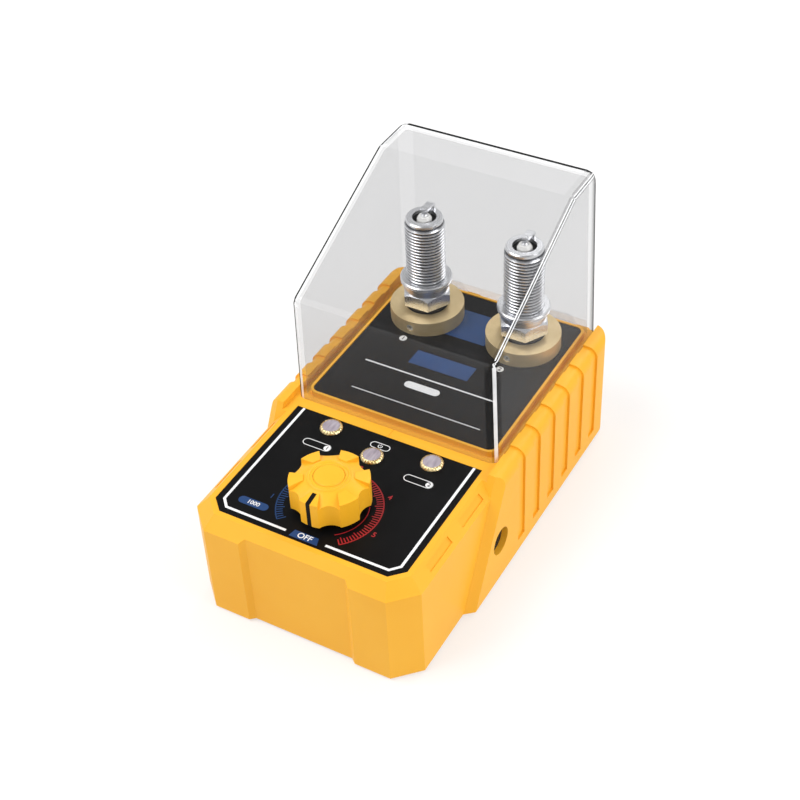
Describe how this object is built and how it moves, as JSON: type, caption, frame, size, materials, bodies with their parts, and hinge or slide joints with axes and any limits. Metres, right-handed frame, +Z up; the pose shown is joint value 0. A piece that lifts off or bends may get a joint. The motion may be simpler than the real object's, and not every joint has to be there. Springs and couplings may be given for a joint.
{
  "type": "spark plug tester",
  "caption": "Bench spark plug tester with a yellow housing, a fluted speed knob, indicator lenses, and brass sockets that hold plugs under a hinged clear cover.",
  "frame": {"origin": "on the bench plane under the middle of the whole object, hinge lugs included", "axes": "+X to the right side with the power inlet, +Y from the control deck to the hinge at the back, +Z up"},
  "size_m": [0.0884, 0.149, 0.1084],
  "materials": {
    "housing_yellow": "fine moulded satin",
    "knob_yellow": "satin",
    "base_black": "matt",
    "panel_black": "satin film",
    "pointer_black": "satin paint",
    "cover_clear": "polished and clear",
    "lens_clear": "clear and flat",
    "diode_resin": "clear resin",
    "socket_brass": "turned",
    "contact_brass": "bright",
    "plug_steel": "nickel plated",
    "screw_steel": "zinc plated",
    "plug_ceramic": "glazed",
    "foot_rubber": "matt",
    "board_green": "solder mask",
    "ribbon_grey": "satin",
    "capacitor_blue": "sleeved",
    "sink_aluminium": "extruded",
    "coil_resin": "potted",
    "well_resin": "moulded",
    "track_carbon": "carbon film"
  },
  "bodies": {
    "housing": {"upper_housing": "housing_yellow", "base_plate": "base_black", "base_screws": "screw_steel", "rubber_feet": "foot_rubber", "control_overlay": "panel_black", "socket_panel": "panel_black", "hinge_pins": "screw_steel", "potentiometer_track": "track_carbon", "potentiometer_body": "screw_steel", "potentiometer_washer": "screw_steel", "potentiometer_nut": "screw_steel", "lens_left": "lens_clear", "lens_right": "lens_clear", "lens_power": "lens_clear", "indicator_diodes": "diode_resin", "control_board": "board_green", "control_board_screws": "screw_steel", "main_board": "board_green", "main_board_screws": "screw_steel", "ribbon_cable": "ribbon_grey", "filter_capacitors": "capacitor_blue", "heat_sink": "sink_aluminium", "switching_transistors": "coil_resin", "inlet_body": "base_black", "inlet_pin": "contact_brass", "socket_nuts": "socket_brass", "clamp_screws": "screw_steel", "ignition_coil_left": "coil_resin", "ignition_coil_right": "coil_resin", "contact_link_left": "contact_brass", "contact_link_right": "contact_brass", "socket_left": "socket_brass", "socket_right": "socket_brass", "insulating_well_left": "well_resin", "insulating_well_right": "well_resin", "contact_cup_left": "contact_brass", "contact_cup_right": "contact_brass"},
    "cover": {"cover": "cover_clear"},
    "knob": {"knob": "knob_yellow", "knob_pointer": "pointer_black", "knob_cap": "knob_yellow", "potentiometer_shaft": "screw_steel", "potentiometer_wiper": "contact_brass"},
    "plug_left": {"plug_shell_left": "plug_steel", "plug_gasket_left": "plug_steel", "plug_insulator_left": "plug_ceramic", "plug_electrode_left": "plug_steel", "plug_terminal_left": "plug_steel"},
    "plug_right": {"plug_shell_right": "plug_steel", "plug_gasket_right": "plug_steel", "plug_insulator_right": "plug_ceramic", "plug_electrode_right": "plug_steel", "plug_terminal_right": "plug_steel"},
    "contact_left": {"contact_plunger_left": "contact_brass", "contact_spring_left": "screw_steel"},
    "contact_right": {"contact_plunger_right": "contact_brass", "contact_spring_right": "screw_steel"}
  },
  "joints": [
    {"name": "cover_hinge", "type": "hinge", "parent": "housing", "child": "cover", "pos_m": [0, 0.0715, 0.0334], "axis": [-1, 0, 0], "range_deg": [0, 105]},
    {"name": "knob_turn", "type": "hinge", "parent": "housing", "child": "knob", "pos_m": [0, -0.0502, 0.0409], "axis": [0, 0, 1], "range_deg": [-312, 0]},
    {"name": "plug_left_lift", "type": "slide", "parent": "housing", "child": "plug_left", "axis": [0, 0, 1], "range_m": [0, 0.015]},
    {"name": "plug_right_lift", "type": "slide", "parent": "housing", "child": "plug_right", "axis": [0, 0, 1], "range_m": [0, 0.015]},
    {"name": "contact_left_press", "type": "slide", "parent": "housing", "child": "contact_left", "axis": [0, 0, 1], "range_m": [-0.0012, 0], "stiffness_N_per_m": 150, "springref_m": 0.0006, "deforming": ["contact_spring_left"]},
    {"name": "contact_right_press", "type": "slide", "parent": "housing", "child": "contact_right", "axis": [0, 0, 1], "range_m": [-0.0012, 0], "stiffness_N_per_m": 150, "springref_m": 0.0006, "deforming": ["contact_spring_right"]}
  ]
}
